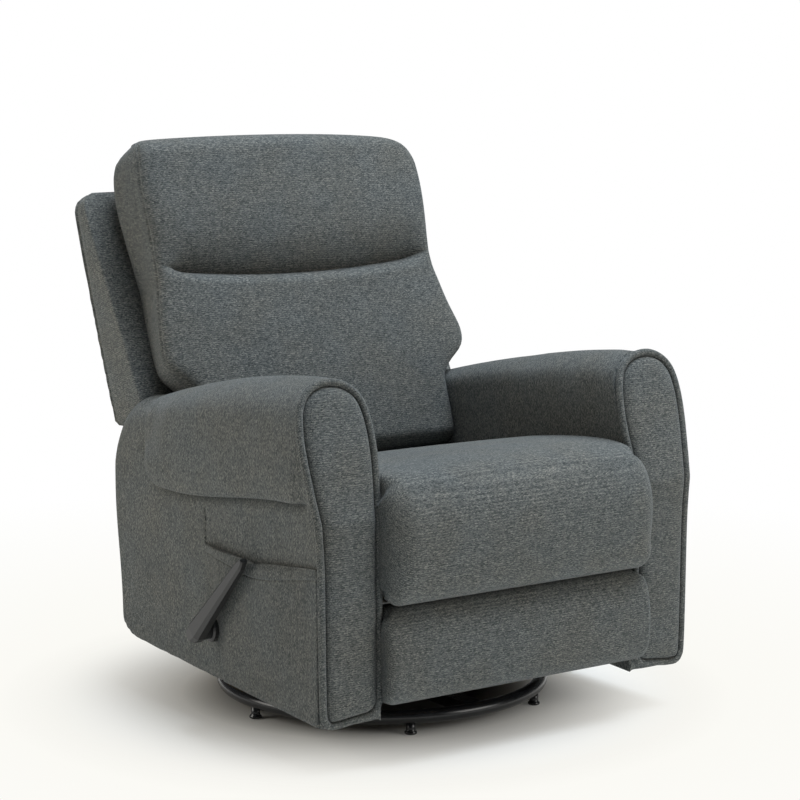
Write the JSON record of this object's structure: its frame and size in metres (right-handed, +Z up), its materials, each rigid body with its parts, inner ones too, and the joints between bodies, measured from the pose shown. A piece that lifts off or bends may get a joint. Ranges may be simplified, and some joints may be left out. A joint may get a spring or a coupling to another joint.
{
  "type": "swivel rocker recliner",
  "caption": "Upholstered swivel rocker recliner with padded arms, side pocket, hand lever, fold-out footrest linkage and reclining back on a steel floor ring.",
  "frame": {"origin": "middle of the bounding box on the floor", "axes": "+Z up, the chair faces -Y, +X to the sitter's left"},
  "size_m": [0.8292, 0.9564, 0.9793],
  "materials": {
    "upholstery_fabric": "woven chenille tweed",
    "welt_fabric": "woven chenille tweed",
    "black_steel": "satin powder coat",
    "zinc_steel": "zinc plated",
    "spring_steel": "oiled wire",
    "black_plastic": "satin",
    "nylon": "natural",
    "plywood": "raw"
  },
  "bodies": {
    "base": {"base_ring": "black_steel", "base_cross": "black_steel", "swivel_lower_plate": "zinc_steel", "swivel_king_bolt": "zinc_steel"},
    "turntable": {"swivel_bearing_ring": "nylon", "swivel_upper_plate": "black_steel", "rocker_rail_left": "black_steel", "rocker_rail_right": "black_steel", "rocker_pad_left": "nylon", "rocker_pad_right": "nylon", "rocker_spring_left": "spring_steel", "rocker_spring_right": "spring_steel"},
    "chair": {"arm_board_left": "plywood", "arm_board_right": "plywood", "arm_front_panel_left": "upholstery_fabric", "arm_front_panel_right": "upholstery_fabric", "arm_left": "upholstery_fabric", "arm_right": "upholstery_fabric", "arm_welt_left": "welt_fabric", "arm_welt_right": "welt_fabric", "chassis_cross_tube_front": "black_steel", "chassis_cross_tube_rear": "black_steel", "chassis_rail_left": "black_steel", "chassis_rail_right": "black_steel", "lever_escutcheon": "black_plastic", "rear_panel": "upholstery_fabric", "rear_rail": "plywood", "seat_cushion": "upholstery_fabric", "seat_rail_front": "plywood", "seat_rail_rear": "plywood", "seat_side_rail_left": "plywood", "seat_side_rail_right": "plywood", "seat_spring_wire": "spring_steel", "side_plate_left": "zinc_steel", "side_plate_right": "zinc_steel", "side_pocket": "upholstery_fabric"},
    "lever": {"lever_handle": "black_plastic", "drive_tube": "zinc_steel"},
    "drive_rods": {"drive_rod_left": "zinc_steel", "drive_rod_right": "zinc_steel"},
    "rear_links": {"rear_link_left": "zinc_steel", "rear_link_right": "zinc_steel"},
    "guide_links": {"guide_link_left": "zinc_steel", "guide_link_right": "zinc_steel"},
    "carrier_links": {"carrier_link_left": "zinc_steel", "carrier_link_right": "zinc_steel"},
    "control_links": {"control_link_left": "zinc_steel", "control_link_right": "zinc_steel"},
    "footrest": {"footrest_bracket_left": "zinc_steel", "footrest_bracket_right": "zinc_steel", "footrest_board": "plywood", "footrest_pad": "upholstery_fabric"},
    "back": {"back_upright_left": "plywood", "back_upright_right": "plywood", "back_bracket_left": "zinc_steel", "back_bracket_right": "zinc_steel", "back_panel": "plywood", "back_shell": "upholstery_fabric", "back_cushion": "upholstery_fabric"}
  },
  "joints": [
    {"name": "swivel", "type": "hinge", "parent": "base", "child": "turntable", "pos_m": [0.01685, -0.0322, 0], "axis": [0, 0, 1], "continuous": true},
    {"name": "rock", "type": "hinge", "parent": "turntable", "child": "chair", "pos_m": [0.01685, -0.0322, 0.11165], "axis": [1, 0, 0], "range_deg": [-8, 8], "stiffness_Nm_per_rad": 1500, "deforming": ["rocker_spring_left", "rocker_spring_right"]},
    {"name": "footrest_extend", "type": "hinge", "parent": "chair", "child": "rear_links", "pos_m": [0.01685, -0.3072, 0.25], "axis": [-1, 0, 0], "range_deg": [0, 97.73]},
    {"name": "lever_turn", "type": "hinge", "parent": "chair", "child": "lever", "pos_m": [0.01685, -0.0872, 0.18], "axis": [-1, 0, 0], "range_deg": [0, 97.83]},
    {"name": "drive_rod_pivot", "type": "hinge", "parent": "lever", "child": "drive_rods", "pos_m": [0.01685, -0.07229, 0.12706], "axis": [1, 0, 0], "range_deg": [0, 97.83]},
    {"name": "carrier_pivot", "type": "hinge", "parent": "rear_links", "child": "carrier_links", "pos_m": [0.01685, -0.2672, 0.108], "axis": [1, 0, 0], "range_deg": [0, 127.76]},
    {"name": "control_pivot", "type": "hinge", "parent": "rear_links", "child": "control_links", "pos_m": [0.01685, -0.27805, 0.1465], "axis": [1, 0, 0], "range_deg": [0, 127.76]},
    {"name": "guide_pivot", "type": "hinge", "parent": "chair", "child": "guide_links", "pos_m": [0.01685, -0.33569, 0.26103], "axis": [-1, 0, 0], "range_deg": [0, 98.62]},
    {"name": "footrest_pivot", "type": "hinge", "parent": "carrier_links", "child": "footrest", "pos_m": [0.01685, -0.3572, 0.215], "axis": [-1, 0, 0], "range_deg": [0, 127.76]},
    {"name": "back_recline", "type": "hinge", "parent": "chair", "child": "back", "pos_m": [0.01685, 0.1828, 0.33], "axis": [-1, 0, 0], "range_deg": [0, 38]}
  ],
  "couplings": [
    {"joint": "lever_turn", "follows": "footrest_extend", "ratio": 1},
    {"joint": "drive_rod_pivot", "follows": "footrest_extend", "ratio": 1},
    {"joint": "carrier_pivot", "follows": "footrest_extend", "ratio": 1.3063},
    {"joint": "control_pivot", "follows": "footrest_extend", "ratio": 1.3063},
    {"joint": "guide_pivot", "follows": "footrest_extend", "ratio": 1.0081},
    {"joint": "footrest_pivot", "follows": "footrest_extend", "ratio": 1.3063}
  ]
}
